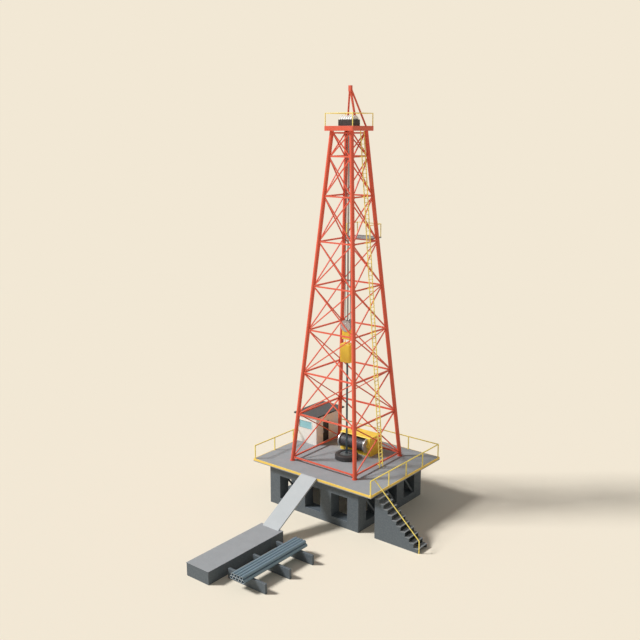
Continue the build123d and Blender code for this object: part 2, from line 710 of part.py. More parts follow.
# Drawworks: a rounded housing, open in front round the lower half of the drum.
with BuildPart() as drawworks_housing:
    box_between(DW_X0, DW_X1, DW_Y0, DW_Y1, FLOOR_TOP, FLOOR_TOP + DW_H)
    fillet(drawworks_housing.edges().filter_by(lambda e: e.center().Z > FLOOR_TOP + 1), DW_ROUND)
    boss_x0 = DW_X0 + DW_ROUND
    boss_x1 = DRUM_X1 + DRUM_CLEAR + DRUM_BOSS_L
    with Locations(Location(((boss_x0 + boss_x1) / 2, DW_Y0, DRUM_Z), (0, 90, 0))):
        Cylinder(DRUM_BOSS_R, boss_x1 - boss_x0)
    with BuildSketch(Plane.YZ.offset(DRUM_X0 - DRUM_CLEAR)):
        with Locations((DW_Y0, DRUM_Z)):
            Circle(FLANGE_R + FLANGE_CLEAR)
    extrude(amount=DRUM_X1 - DRUM_X0 + 2 * DRUM_CLEAR, mode=Mode.SUBTRACT)
    with BuildSketch(Plane.YZ.offset(DW_X0)):
        with Locations((DW_Y0, DRUM_Z)):
            Circle(DRUM_SHAFT_R + RUN_GAP)
    extrude(amount=boss_x1 - DW_X0, mode=Mode.SUBTRACT)
drawworks_housing.part.label = "drawworks_housing"

with BuildPart() as drawworks_drum:
    with BuildSketch(Plane.XZ):
        Polygon((boss_x0, 0), (boss_x0, DRUM_SHAFT_R), (DRUM_X0, DRUM_SHAFT_R), (DRUM_X0, FLANGE_R),
                (DRUM_X0 + FLANGE_T, FLANGE_R), (DRUM_X0 + FLANGE_T, DRUM_R),
                (DRUM_X1 - FLANGE_T, DRUM_R), (DRUM_X1 - FLANGE_T, FLANGE_R), (DRUM_X1, FLANGE_R),
                (DRUM_X1, DRUM_SHAFT_R), (boss_x1 - SHAFT_END_GAP, DRUM_SHAFT_R),
                (boss_x1 - SHAFT_END_GAP, 0), align=None)
    revolve(axis=Axis.X)
drawworks_drum.part.position = (0, DW_Y0, DRUM_Z)
drawworks_drum.part.label = "drawworks_drum"

# Driller's cabin.
W = DH_WALL
with BuildPart() as cabin_shell:
    box_between(DH_X0, DH_X1, DH_Y0, DH_Y1, FLOOR_TOP, DH_Z0)
    box_between(DH_X0, DH_X1, DH_Y1 - W, DH_Y1, DH_Z0, DH_Z1)
    box_between(DH_X0, DH_X0 + W, DH_Y0 + W, DH_Y1 - W, DH_Z0, DH_Z1)
cabin_shell.part.label = "cabin_shell"

with BuildPart() as cabin_wall_front:
    box_between(DH_X0, DH_X1, DH_Y0, DH_Y0 + W, DH_Z0, DH_Z1)
    box_between(WIN_X0, WIN_X1, DH_Y0, DH_Y0 + W, FLOOR_TOP + WIN_SILL, FLOOR_TOP + WIN_HEAD,
                mode=Mode.SUBTRACT)
cabin_wall_front.part.label = "cabin_wall_front"

with BuildPart() as cabin_wall_right:
    box_between(DH_X1 - W, DH_X1, DH_Y0 + W, DH_Y1 - W, DH_Z0, DH_Z1)
    box_between(DH_X1 - W, DH_X1, DOOR_Y0, DOOR_Y1, DH_Z0, DH_Z0 + DOOR_H, mode=Mode.SUBTRACT)
cabin_wall_right.part.label = "cabin_wall_right"

with BuildPart() as cabin_door:
    box_between(DH_X1 - W, DH_X1 - W + DOOR_T, DOOR_Y0 + DOOR_GAP, DOOR_Y1 - DOOR_GAP,
                DH_Z0 + DOOR_GAP, DH_Z0 + DOOR_H - DOOR_GAP)
cabin_door.part.label = "cabin_door"

with BuildPart() as cabin_window:
    box_between(WIN_X0 + PANE_GAP, WIN_X1 - PANE_GAP, DH_Y0 + PANE_IN, DH_Y0 + PANE_IN + PANE_T,
                FLOOR_TOP + WIN_SILL + PANE_GAP, FLOOR_TOP + WIN_HEAD - PANE_GAP)
cabin_window.part.label = "cabin_window"

with BuildPart() as cabin_roof:
    o = DH_ROOF_OVER
    box_between(DH_X0 - o, DH_X1 + o, DH_Y0 - o, DH_Y1 + o, DH_Z1, DH_Z1 + DH_ROOF_T)
cabin_roof.part.label = "cabin_roof"

parts = [substructure_front, substructure_rear, substructure_right, substructure_left,
         drill_floor, floor_edge, handrail_left, handrail_rear, handrail_right,
         pipe_ramp, catwalk, rack_sleepers, pipes_lower, pipes_upper,
         stair_sides, stair_treads, stair_handrail, derrick_legs,
         derrick_face_front, derrick_face_right, derrick_face_rear, derrick_face_left,
         crown_platform, crown_handrail, crown_block_frame, crown_sheaves, gin_pole,
         monkey_board, monkey_board_rail, ladder,
         travelling_block, block_sheaves, top_drive, drill_string, drilling_lines,
         rotary_housing, rotary_turntable, drawworks_housing, drawworks_drum,
         cabin_shell, cabin_wall_front, cabin_wall_right, cabin_door, cabin_window, cabin_roof]
for item in parts:
    export_step(item.part, f"parts/{item.part.label}.step")
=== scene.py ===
"""Dresses the oil drilling rig: finishes, fine detail, studio floor, light and camera."""

import json
import logging
import math
import sys
from collections.abc import Callable
from dataclasses import dataclass, field
from enum import Enum
from itertools import pairwise, product

import bmesh
import bpy
from mathutils import Matrix, Vector

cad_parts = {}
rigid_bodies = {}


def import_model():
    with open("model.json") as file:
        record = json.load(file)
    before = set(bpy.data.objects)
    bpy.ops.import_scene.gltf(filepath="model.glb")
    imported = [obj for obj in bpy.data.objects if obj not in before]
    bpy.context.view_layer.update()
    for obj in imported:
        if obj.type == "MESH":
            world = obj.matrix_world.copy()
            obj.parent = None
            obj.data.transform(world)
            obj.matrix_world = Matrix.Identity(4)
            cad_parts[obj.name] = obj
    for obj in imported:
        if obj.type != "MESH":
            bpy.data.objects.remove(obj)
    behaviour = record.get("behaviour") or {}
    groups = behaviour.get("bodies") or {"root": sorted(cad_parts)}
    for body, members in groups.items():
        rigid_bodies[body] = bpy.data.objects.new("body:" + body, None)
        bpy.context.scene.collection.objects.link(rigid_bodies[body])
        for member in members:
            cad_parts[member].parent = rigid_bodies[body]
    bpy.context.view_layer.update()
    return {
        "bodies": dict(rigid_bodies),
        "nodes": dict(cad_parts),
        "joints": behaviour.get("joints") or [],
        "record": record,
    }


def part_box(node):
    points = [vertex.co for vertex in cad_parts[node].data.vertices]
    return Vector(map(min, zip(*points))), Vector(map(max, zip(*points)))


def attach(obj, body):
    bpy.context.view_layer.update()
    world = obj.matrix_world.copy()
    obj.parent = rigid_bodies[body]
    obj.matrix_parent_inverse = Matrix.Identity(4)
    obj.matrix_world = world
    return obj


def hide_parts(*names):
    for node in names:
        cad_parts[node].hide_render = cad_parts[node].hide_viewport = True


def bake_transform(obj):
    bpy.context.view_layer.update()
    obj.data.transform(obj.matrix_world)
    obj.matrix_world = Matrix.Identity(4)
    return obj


log = logging.getLogger("rig")
Point = tuple[float, float, float]
Colour = tuple[float, float, float]
Piece = bpy.types.Object
Node = bpy.types.Node
NodeTree = bpy.types.NodeTree
Socket = bpy.types.NodeSocket
Inputs = dict[str | int, Socket | tuple | float]

WEAR = "edge_wear"
UP = (0, 0, 1)
FRONT = (0, -1)
FACES = (FRONT, (1, 0), (0, 1), (-1, 0))
QUARTERS = tuple(product((-1, 1), repeat=2))
SMOOTH_ANGLE = math.radians(38)
SHARP_ANGLE = math.radians(35)
FLAT_ANGLE = math.radians(0.4)
WELD_GAP = 2e-5
EDGE_STEPS = 2
EDGE_PROFILE = 0.6
HEAD_SIDES = 6
HEAD_OUT = 0.9
WASHER_SIDES = 10
WASHER_R = 1.4
WASHER_OUT = 0.25
BOLT_SUNK = 0.2


class Body(Enum):
    """The bodies that a piece can ride on."""

    RIG = "rig"
    HOIST = "hoist"
    BLOCK_SHEAVES = "block_sheave_set"
    STRING = "string"
    TURNTABLE = "turntable"
    DRUM = "drum"
    CROWN_SHEAVES = "crown_sheave_set"
    DOOR = "door"


class Grain(Enum):
    """The relief that a surface carries."""

    SPRAYED = "sprayed paint"
    CHEQUER = "chequered tread plate"
    TURNED = "turned or brushed metal"
    ROPE = "lay of a wire rope"
    CAST = "cast iron skin"


@dataclass(frozen=True)
class Pattern:
    """A noise pattern: cells per metre, octaves, the part of its range that shows, its stretch."""

    scale: float
    octaves: float
    low: float = 0.0
    high: float = 1.0
    stretch: Point = (1, 1, 1)


MOTTLING = Pattern(1.3, 6, 0.32, 0.68)
STREAKS = Pattern(2.6, 8, 0.52, 0.80, (1, 1, 0.2))
RUBBED = Pattern(9, 5, 0.45, 0.62)
SHEEN = Pattern(4, 5, 0.30, 0.70)
GRAINS = {
    Grain.SPRAYED: Pattern(160, 2),
    Grain.CAST: Pattern(55, 5),
    Grain.TURNED: Pattern(90, 2, stretch=(0.15, 0.15, 4)),
}
ROPE_WAVES = 20
LOZENGE_WAVES = ((6, 28), (3, -62))
LOZENGE_SPAN = (0.5, 0.72)
GRAIN_DEPTH = 0.004
GRIME_SHADE = 0.5
BARE_SHARE = 0.5
BARE_LIFT = 0.28
GLOSS_DOWN = 0.03
GLOSS_UP = 0.05
LEAST_ROUGH = 0.04
GLASS_THROUGH = 0.2
GLASS_BEND = 1.45


def screen(*values: int) -> Colour:
    """Turn a 0 to 255 screen colour into scene light, by the usual screen curve."""
    shares = [value / 255 for value in values]
    return tuple(c / 12.92 if c <= 0.04045 else ((c + 0.055) / 1.055) ** 2.4 for c in shares)


def hang(name: str, data: bpy.types.ID) -> Piece:
    """Put a new object into the scene.

    Args:
        name: its name.
        data: its mesh, lamp or camera.

    Returns:
        The object.
    """
    thing = bpy.data.objects.new(name, data)
    bpy.context.scene.collection.objects.link(thing)
    return thing


def turned(way: Vector) -> Matrix:
    """Find the turn that points the z axis another way."""
    return way.to_track_quat("Z", "Y").to_matrix()


def feed(node: Node, inputs: Inputs) -> Node:
    """Set some inputs of a node, or join them to the outputs of others.

    Args:
        node: the node.
        inputs: what each input takes, by its name or place.

    Returns:
        The same node.
    """
    for slot, value in inputs.items():
        if isinstance(value, Socket):
            node.id_data.links.new(value, node.inputs[slot])
        else:
            node.inputs[slot].default_value = value
    return node


def make_node(tree: NodeTree, kind: str, inputs: Inputs) -> Node:
    """Add a node of some kind and feed it."""
    return feed(tree.nodes.new("ShaderNode" + kind), inputs)


def merge(tree: NodeTree, operation: str, *sources: Socket) -> Socket:
    """Work out one value from two.

    Args:
        tree: the nodes that they belong to.
        operation: what is done with them.
        sources: the two values.

    Returns:
        The result.
    """
    both = make_node(tree, "Math", dict(enumerate(sources)))
    both.operation = operation
    return both.outputs["Value"]


class Coat:
    """The nodes that give one finish its look."""

    def __init__(self, finish: "Finish", tree: NodeTree) -> None:
        """Put the nodes together.

        Args:
            finish: the finish.
            tree: its material's nodes.
        """
        self.finish = finish
        self.tree = tree
        feed(tree.nodes["Principled BSDF"], {
            "Metallic": finish.metal, "Base Color": self._colour(), "Roughness": self._gloss(),
            "Normal": self._relief()})

    def _coords(self, turn: float = 0.0, stretch: Point = (1, 1, 1)) -> Socket:
        """Add the rig's own coordinates, turned about z by some degrees and stretched."""
        coords = make_node(self.tree, "TexCoord", {})
        return make_node(self.tree, "Mapping", {
            "Vector": coords.outputs["Object"], "Rotation": (0, 0, math.radians(turn)),
            "Scale": stretch}).outputs["Vector"]

    def _noise(self, pattern: Pattern) -> Socket:
        """Add a noise pattern."""
        return make_node(self.tree, "TexNoise", {
            "Vector": self._coords(stretch=pattern.stretch), "Scale": pattern.scale,
            "Detail": pattern.octaves}).outputs["Fac"]

    def _waves(self, scale: float, turn: float = 0.0) -> Node:
        """Add even waves, turned about z by some degrees."""
        return make_node(self.tree, "TexWave", {"Vector": self._coords(turn), "Scale": scale})

    def _span(self, source: Socket, low: float, high: float, start: float, end: float) -> Socket:
        """Make a value run from start to end where it ran from low to high."""
        return make_node(self.tree, "MapRange", {
            "Value": source, "From Min": low, "From Max": high, "To Min": start,
            "To Max": end}).outputs["Result"]

    def _spread(self, pattern: Pattern, start: float, end: float) -> Socket:
        """Add a noise pattern that runs from start to end over the part that shows."""
        return self._span(self._noise(pattern), pattern.low, pattern.high, start, end)

    def _over(self, under: Socket, colour: Colour, amount: Socket) -> Socket:
        """Lay a colour over another one.

        Args:
            under: the colour below.
            colour: the colour laid over it.
            amount: how much of it covers.

        Returns:
            The mixed colour.
        """
        mix = make_node(self.tree, "Mix", {0: amount})
        mix.data_type = "RGBA"
        below, above = (s for s in mix.inputs if s.type == "RGBA")
        self.tree.links.new(under, below)
        above.default_value = (*colour, 1)
        return next(s for s in mix.outputs if s.type == "RGBA")

    def _colour(self) -> Socket:
        """Mottle the colour, darken it where grime runs down and lighten worn edges.

        Returns:
            The colour.
        """
        finish = self.finish
        ramp = make_node(self.tree, "ValToRGB", {"Fac": self._noise(MOTTLING)})
        first, last = ramp.color_ramp.elements
        first.position, last.position = MOTTLING.low, MOTTLING.high
        first.color = (*finish.shade(1 - finish.mottle), 1)
        last.color = (*finish.shade(1 + finish.mottle), 1)
        dirty = self._over(ramp.outputs["Color"], finish.shade(GRIME_SHADE),
                           self._spread(STREAKS, 0, finish.grime))
        edge = make_node(self.tree, "Attribute", {})
        edge.attribute_name = WEAR
        worn = merge(self.tree, "MULTIPLY", edge.outputs["Fac"],
                     self._spread(RUBBED, 0, finish.wear))
        return self._over(dirty, tuple(BARE_SHARE * c + BARE_LIFT for c in finish.colour), worn)

    def _gloss(self) -> Socket:
        """Vary the gloss a little over the surface."""
        rough = self.finish.rough
        return self._spread(SHEEN, max(LEAST_ROUGH, rough - GLOSS_DOWN), min(1.0, rough + GLOSS_UP))

    def _relief(self) -> Socket:
        """Add the fine relief of the grain.

        Returns:
            The bumped normal.
        """
        grain = self.finish.grain
        if grain in GRAINS:
            height = self._noise(GRAINS[grain])
        elif grain is Grain.ROPE:
            strands = self._waves(ROPE_WAVES)
            strands.bands_direction = "DIAGONAL"
            height = strands.outputs["Fac"]
        else:
            rows = [self._waves(*wave).outputs["Fac"] for wave in LOZENGE_WAVES]
            height = self._span(merge(self.tree, "MULTIPLY", *rows), *LOZENGE_SPAN, 0, 1)
        return make_node(self.tree, "Bump", {
            "Height": height, "Strength": self.finish.relief,
            "Distance": GRAIN_DEPTH}).outputs["Normal"]


@dataclass(frozen=True)
class Finish:
    """A painted or metal surface with mottling, grime, worn edges, uneven gloss and relief."""

    name: str
    slot: str
    colour: Colour
    rough: float = 0.5
    metal: float = 0.0
    mottle: float = 0.04
    grain: Grain = Grain.SPRAYED
    relief: float = 0.03
    grime: float = 0.08
    wear: float = 0.10

    def shade(self, factor: float) -> Colour:
        """Make the colour lighter or darker."""
        return tuple(min(1.0, c * factor) for c in self.colour)

    def material(self) -> bpy.types.Material:
        """Make the node material, or hand back the one made before.

        Returns:
            The material.
        """
        known = bpy.data.materials.get(self.name)
        if known:
            return known
        mat = bpy.data.materials.new(self.name)
        mat.use_nodes = True
        Coat(self, mat.node_tree)
        return mat


@dataclass(frozen=True)
class Glazing(Finish):
    """Tinted window glass with a faint dusty film."""

    def material(self) -> bpy.types.Material:
        """Make the glass, which lets some light through.

        Returns:
            The material.
        """
        mat = Finish.material(self)
        feed(mat.node_tree.nodes["Principled BSDF"], {
            "Transmission Weight": GLASS_THROUGH, "IOR": GLASS_BEND})
        return mat


SLATE = Finish("slate_paint", "slate_steel", screen(85, 94, 101), rough=0.6, mottle=0.02,
               relief=0.01, grime=0.03)
FLOOR_GREY = Finish("floor_plate_paint", "floor_plate", screen(151, 155, 158), rough=0.78,
                    grain=Grain.CHEQUER, relief=0.12)
TREAD_GREY = Finish("tread_paint", "floor_plate", screen(118, 122, 125), rough=0.75,
                    grain=Grain.CHEQUER, relief=0.12)
EDGE_YELLOW = Finish("edge_paint", "edge_yellow", screen(246, 208, 96))
RAIL_YELLOW = Finish("rail_paint", "rail_yellow", screen(255, 229, 114), rough=0.45)
RAMP_GREY = Finish("ramp_paint", "ramp_steel", screen(180, 185, 187), mottle=0.025)
CATWALK_TOP = Finish("catwalk_top_paint", "catwalk_grey", screen(155, 158, 161), rough=0.78,
                     grain=Grain.CHEQUER, relief=0.12)
PIPE_BLUE = Finish("pipe_paint", "pipe_steel", screen(117, 142, 158), rough=0.38, metal=0.2)
PIPE_RIM = Finish("pipe_rim_metal", "pipe_steel", screen(186, 194, 200), rough=0.4, metal=0.3,
                  grain=Grain.TURNED)
STRING_BLUE = Finish("drill_pipe_paint", "pipe_steel", screen(78, 96, 106), rough=0.35, metal=0.35)
DERRICK_RED = Finish("derrick_paint", "derrick_red", screen(226, 94, 67), rough=0.45)
BLOCK_DARK = Finish("crown_block_paint", "block_dark", screen(45, 43, 44))
BRIGHT = Finish("bright_metal", "bright_steel", screen(196, 197, 199), rough=0.3, metal=0.6,
                grain=Grain.TURNED)
TABLE_STEEL = Finish("turntable_metal", "bright_steel", screen(118, 130, 134), rough=0.4,
                     metal=0.4, grain=Grain.TURNED)
SHEAVE_PALE = Finish("sheave_paint", "bright_steel", screen(240, 238, 234), rough=0.4)
HOIST_YELLOW = Finish("hoist_paint", "hoist_yellow", screen(255, 215, 68), rough=0.4)
WIRE = Finish("wire_rope", "line_steel", screen(120, 119, 120), rough=0.4, metal=0.7,
              grain=Grain.ROPE, relief=0.4)
ROTARY_BLACK = Finish("rotary_paint", "rotary_black", screen(58, 57, 59), rough=0.48,
                      grain=Grain.CAST)
DRUM_BLACK = Finish("drum_paint", "drum_black", screen(78, 79, 84), grain=Grain.CAST)
CABIN_WHITE = Finish("cabin_paint", "cabin_white", screen(244, 240, 232), rough=0.55, mottle=0.02)
ROOF_GREY = Finish("roof_paint", "roof_grey", screen(72, 74, 75), rough=0.8)
FASCIA_BLACK = Finish("roof_fascia_paint", "roof_grey", screen(40, 41, 40), rough=0.6)
DOOR_DARK = Finish("door_paint", "door_dark", screen(34, 32, 34))
GLASS = Glazing("window_tint", "window_glass", screen(168, 226, 236), rough=0.12, relief=0.02,
                wear=0)


class Shop:
    """Gathers blocks, bars, plates and turned shapes of one finish into one mesh."""

    def __init__(self, name: str) -> None:
        """Start an empty piece with a name."""
        self.name = name
        self.bm = bmesh.new()
        self.worn = self.bm.verts.layers.float.new(WEAR)

    def soften(self, edges: list[bmesh.types.BMEdge], width: float) -> None:
        """Round some edges and mark them as worn.

        Args:
            edges: the edges.
            width: how far back each edge is cut.
        """
        made = bmesh.ops.bevel(self.bm, geom=edges, offset=width, segments=EDGE_STEPS,
                               affect="EDGES", profile=EDGE_PROFILE, clamp_overlap=True)
        for vert in {v for f in made["faces"] for v in f.verts}:
            vert[self.worn] = 1.0

    def block(self, centre: Point, size: Point, edge: float, turn: Matrix | None = None) -> None:
        """Add a block with rounded edges.

        Args:
            centre: its middle.
            size: its three sizes.
            edge: how much its edges are rounded.
            turn: how it is turned, if at all.
        """
        place = Matrix.Translation(centre) @ (turn.to_4x4() if turn else Matrix.Identity(4))
        made = bmesh.ops.create_cube(self.bm, size=1, matrix=place @ Matrix.Diagonal((*size, 1)))
        self.soften(list({e for v in made["verts"] for e in v.link_edges}), edge)

    def span(self, low: Point, high: Point, edge: float) -> None:
        """Add a block between its lowest and its highest corner, with rounded edges."""
        centre = tuple((a + b) / 2 for a, b in zip(low, high))
        self.block(centre, tuple(b - a for a, b in zip(low, high)), edge)

    def bar(self, start: Vector, end: Vector, width: float, edge: float) -> None:
        """Add a square bar from one point to another, with rounded edges."""
        way = end - start
        self.block((start + end) / 2, (width, width, way.length), edge, turned(way))

    def rod(self, start: Point, end: Point, radius: float, sides: int, edge: float = 0.0) -> None:
        """Add a round or many-sided bar from one point to another.

        Args:
            start: one end.
            end: the other end.
            radius: half its thickness.
            sides: how many sides it has.
            edge: how much its end rims are rounded.
        """
        a, b = Vector(start), Vector(end)
        made = bmesh.ops.create_cone(
            self.bm, cap_ends=True, segments=sides, radius1=radius, radius2=radius,
            depth=(b - a).length, matrix=Matrix.Translation((a + b) / 2) @ turned(b - a).to_4x4())
        if edge > 0:
            rims = [e for e in {e for v in made["verts"] for e in v.link_edges}
                    if any(len(f.verts) > 4 for f in e.link_faces)]
            self.soften(rims, edge)

    def bolt(self, place: Point, out: Point, size: float) -> None:
        """Add a hexagon bolt head on a washer.

        Args:
            place: where it sits.
            out: the way it points.
            size: the head's radius.
        """
        p, n = Vector(place), Vector(out).normalized() * size
        self.rod(p - n * BOLT_SUNK, p + n * WASHER_OUT, size * WASHER_R, WASHER_SIDES)
        self.rod(p + n * BOLT_SUNK, p + n * HEAD_OUT, size, HEAD_SIDES)

    def bolt_ring(self, centre: Point, out: Point, radius: float, count: int, size: float,
                  first: float = 0.5) -> None:
        """Set bolts round an axis.

        Args:
            centre: the ring's middle.
            out: the way the bolts point, along x or z.
            radius: the ring's radius.
            count: how many bolts.
            size: a bolt head's radius.
            first: where the first one sits, in steps.
        """
        axes = Matrix.Identity(3)
        across, on = axes[:2] if out == UP else axes[1:]
        for k in range(count):
            a = 2 * math.pi * (k + first) / count
            spot = Vector(centre) + (across * math.cos(a) + on * math.sin(a)) * radius
            self.bolt(spot, out, size)

    def plate(self, outline: list[Vector], thickness: float) -> None:
        """Add a flat plate with the given outline.

        Args:
            outline: its corners, on the plate's middle plane.
            thickness: how thick the plate is.
        """
        first, second, third = outline[:3]
        normal = (second - first).cross(third - first).normalized() * thickness / 2
        upper = [self.bm.verts.new(c + normal) for c in outline]
        lower = [self.bm.verts.new(c - normal) for c in outline]
        self.bm.faces.new(upper)
        self.bm.faces.new(lower[::-1])
        for i, vert in enumerate(upper):
            k = (i + 1) % len(upper)
            self.bm.faces.new((vert, lower[i], lower[k], upper[k]))

    def lathe(self, profile: list[tuple[float, float]], centre: Point, axis: Point,
              sides: int) -> None:
        """Add a shape turned about an axis.

        Args:
            profile: distance along the axis and radius of each point, closed from end to end.
            centre: where the axis starts.
            axis: the way it points.
            sides: how many steps go round it.
        """
        place = Matrix.Translation(centre) @ turned(Vector(axis)).to_4x4()
        rings = []
        for k in range(sides):
            c, s = math.cos(2 * math.pi * k / sides), math.sin(2 * math.pi * k / sides)
            rings.append([self.bm.verts.new(place @ Vector((r * c, r * s, d))) for d, r in profile])
        for k, ring in enumerate(rings):
            following = rings[(k + 1) % sides]
            for i in range(len(profile)):
                j = (i + 1) % len(profile)
                self.bm.faces.new((ring[i], following[i], following[j], ring[j]))

    def done(self, finish: Finish, *nodes: str, body: Body = Body.RIG) -> Piece:
        """Turn the gathered shapes into a piece of the rig.

        Args:
            finish: its surface.
            nodes: the solids that it stands for, if any.
            body: the body that it rides on.

        Returns:
            The new piece.
        """
        bmesh.ops.recalc_face_normals(self.bm, faces=self.bm.faces[:])
        mesh = bpy.data.meshes.new(self.name)
        self.bm.to_mesh(mesh)
        self.bm.free()
        mesh.shade_smooth()
        mesh.set_sharp_from_angle(angle=SMOOTH_ANGLE)
        piece = hang(self.name, mesh)
        even = piece.modifiers.new("even_normals", "WEIGHTED_NORMAL")
        even.keep_sharp = True
        mesh.materials.append(finish.material())
        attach(piece, body.value)
        if nodes:
            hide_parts(*nodes)
        return piece


def repaint(piece: Piece, finish: Finish, test: Callable[[Vector, Vector], bool]) -> Piece:
    """Give some faces of a piece another finish.

    Args:
        piece: the piece.
        finish: the other finish.
        test: says from a face's centre and normal whether the face gets it.

    Returns:
        The same piece.
    """
    piece.data.materials.append(finish.material())
    for face in piece.data.polygons:
        if test(face.center, face.normal):
            face.material_index = 1
    return piece


@dataclass
class Assembly:
    """A sub-assembly that is built and dressed on its own."""

    frame: dict

    def build(self) -> list[Piece]:
        """Build and dress the sub-assembly."""
        raise NotImplementedError

    def skin(self, node: str, finish: Finish, edge: float = 0.0, swell: float = 0.0,
             body: Body = Body.RIG) -> Piece:
        """Make the shown form of a solid, with its sharp edges rounded and worn.

        Args:
            node: the solid's name.
            finish: its surface.
            edge: how far back its edges are cut, if at all.
            swell: how far each face stands out from the solid's, for paint and thin bars.
            body: the body that it rides on.

        Returns:
            The new piece.
        """
        shop = Shop(node + "_dressed")
        bm = shop.bm
        bm.from_mesh(self.frame["nodes"][node].data)
        shop.worn = bm.verts.layers.float.get(WEAR) or bm.verts.layers.float.new(WEAR)
        bmesh.ops.remove_doubles(bm, verts=bm.verts[:], dist=WELD_GAP)
        bmesh.ops.dissolve_limit(bm, angle_limit=FLAT_ANGLE, verts=bm.verts[:], edges=bm.edges[:])
        if swell > 0:
            bm.normal_update()
            moves = [(v, v.normal * v.calc_shell_factor() * swell) for v in bm.verts]
            for vert, move in moves:
                vert.co += move
        if edge > 0:
            sharp = [e for e in bm.edges
                     if len(e.link_faces) == 2 and e.calc_face_angle(0) > SHARP_ANGLE]
            shop.soften(sharp, edge)
        bmesh.ops.triangulate(bm, faces=[f for f in bm.faces if len(f.verts) > 4])
        return shop.done(finish, node, body=body)


@dataclass
class Substructure(Assembly):
    """The four box frames under the floor, with the bolts that join them."""

    edge: float = 0.025
    bolt_size: float = 0.03
    bolt_rows: int = 6
    bolt_columns: tuple[float, float] = (0.12, 0.30)

    def build(self) -> list[Piece]:
        """Build and dress the frames."""
        sides = ("front", "rear", "right", "left")
        made = [self.skin(f"substructure_{side}", SLATE, edge=self.edge) for side in sides]
        return [*made, self._corner_bolts()]

    def _corner_bolts(self) -> Piece:
        """Bolt the side frames to the front and rear ones at the four corners.

        Returns:
            The bolts.
        """
        shop = Shop("substructure_bolts")
        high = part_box("substructure_front")[1]
        inner = abs(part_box("substructure_right")[0].y)
        for (side, end), k, column in product(QUARTERS, range(self.bolt_rows), self.bolt_columns):
            spot = (side * high.x, end * (inner + column), high.z * (k + 0.5) / self.bolt_rows)
            shop.bolt(spot, (side, 0, 0), self.bolt_size)
        return shop.done(SLATE)


@dataclass
class DrillFloor(Assembly):
    """The floor with its yellow edge and weld seams, and its handrails on their foot plates."""

    plates_x: int = 5
    plates_y: int = 4
    bead: float = 0.006
    bead_sides: int = 8
    strip: float = 0.06
    rail_swell: float = 0.006
    foot_spread: float = 0.15
    foot_level: float = 0.001
    plate_half: float = 0.065
    plate_t: float = 0.012
    plate_bolt: float = 0.009
    plate_bolt_at: float = 0.72

    def build(self) -> list[Piece]:
        """Build and dress the floor and rails.

        Returns:
            The pieces.
        """
        rails = ("handrail_left", "handrail_rear", "handrail_right")
        made = [self.skin("drill_floor", FLOOR_GREY, edge=0.004),
                self.skin("floor_edge", EDGE_YELLOW, edge=0.008)]
        made += [self.skin(rail, RAIL_YELLOW, swell=self.rail_swell) for rail in rails]
        return [*made, self._post_plates(rails), self._seams()]

    def _feet(self, node: str) -> list[Vector]:
        """Find where the posts of a rail stand.

        Args:
            node: the rail's solid.

        Returns:
            The middle of each post's foot.
        """
        points = [v.co for v in self.frame["nodes"][node].data.vertices]
        level = min(p.z for p in points) + self.foot_level
        groups: list[list[Vector]] = []
        for point in (p for p in points if p.z < level):
            near = [g for g in groups if (g[0] - point).length < self.foot_spread]
            if near:
                near[0].append(point)
            else:
                groups.append([point])
        return [Vector([(min(p[i] for p in g) + max(p[i] for p in g)) / 2 for i in range(3)])
                for g in groups]

    def _post_plates(self, rails: tuple[str, ...]) -> Piece:
        """Add the bolted plate under each post of the rails.

        Args:
            rails: the rails' solids.

        Returns:
            The plates.
        """
        shop = Shop("floor_rail_feet")
        half, t, at = self.plate_half, self.plate_t, self.plate_half * self.plate_bolt_at
        for foot in (foot for rail in rails for foot in self._feet(rail)):
            shop.block(foot + Vector((0, 0, t / 2)), (2 * half, 2 * half, t), edge=0.003)
            for sx, sy in QUARTERS:
                shop.bolt(foot + Vector((sx * at, sy * at, t)), UP, self.plate_bolt)
        return shop.done(RAIL_YELLOW)

    def _seams(self) -> Piece:
        """Lay the low weld beads where the floor plates meet.

        Returns:
            The beads.
        """
        shop = Shop("floor_weld_seams")
        low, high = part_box("drill_floor")
        inset = Vector((self.strip, self.strip, 0))
        for axis, count in enumerate((self.plates_x, self.plates_y)):
            for k in range(1, count):
                start, end = low + inset, high - inset
                start[axis] = end[axis] = low[axis] + (high[axis] - low[axis]) * k / count
                start.z = end.z = high.z - self.bead / 2
                shop.rod(start, end, self.bead, self.bead_sides)
        return shop.done(FLOOR_GREY)


@dataclass
class Yard(Assembly):
    """Ramp, catwalk, pipe rack and stairs."""

    deck_t: float = 0.04
    facing: float = 0.3

    def build(self) -> list[Piece]:
        """Build and dress what stands on the ground round the rig.

        Returns:
            The pieces.
        """
        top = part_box("catwalk")[1].z - self.deck_t
        catwalk = repaint(self.skin("catwalk", SLATE, edge=0.02), CATWALK_TOP,
                          lambda centre, normal: centre.z > top and normal.z > self.facing)
        return [
            self.skin("pipe_ramp", RAMP_GREY, edge=0.01),
            catwalk,
            self.skin("rack_sleepers", SLATE, edge=0.015),
            *[repaint(self.skin(row, PIPE_BLUE, edge=0.004), PIPE_RIM,
                      lambda centre, normal: abs(normal.y) > self.facing)
              for row in ("pipes_lower", "pipes_upper")],
            self.skin("stair_sides", SLATE, edge=0.006),
            self.skin("stair_treads", TREAD_GREY, edge=0.008),
            self.skin("stair_handrail", RAIL_YELLOW),
        ]


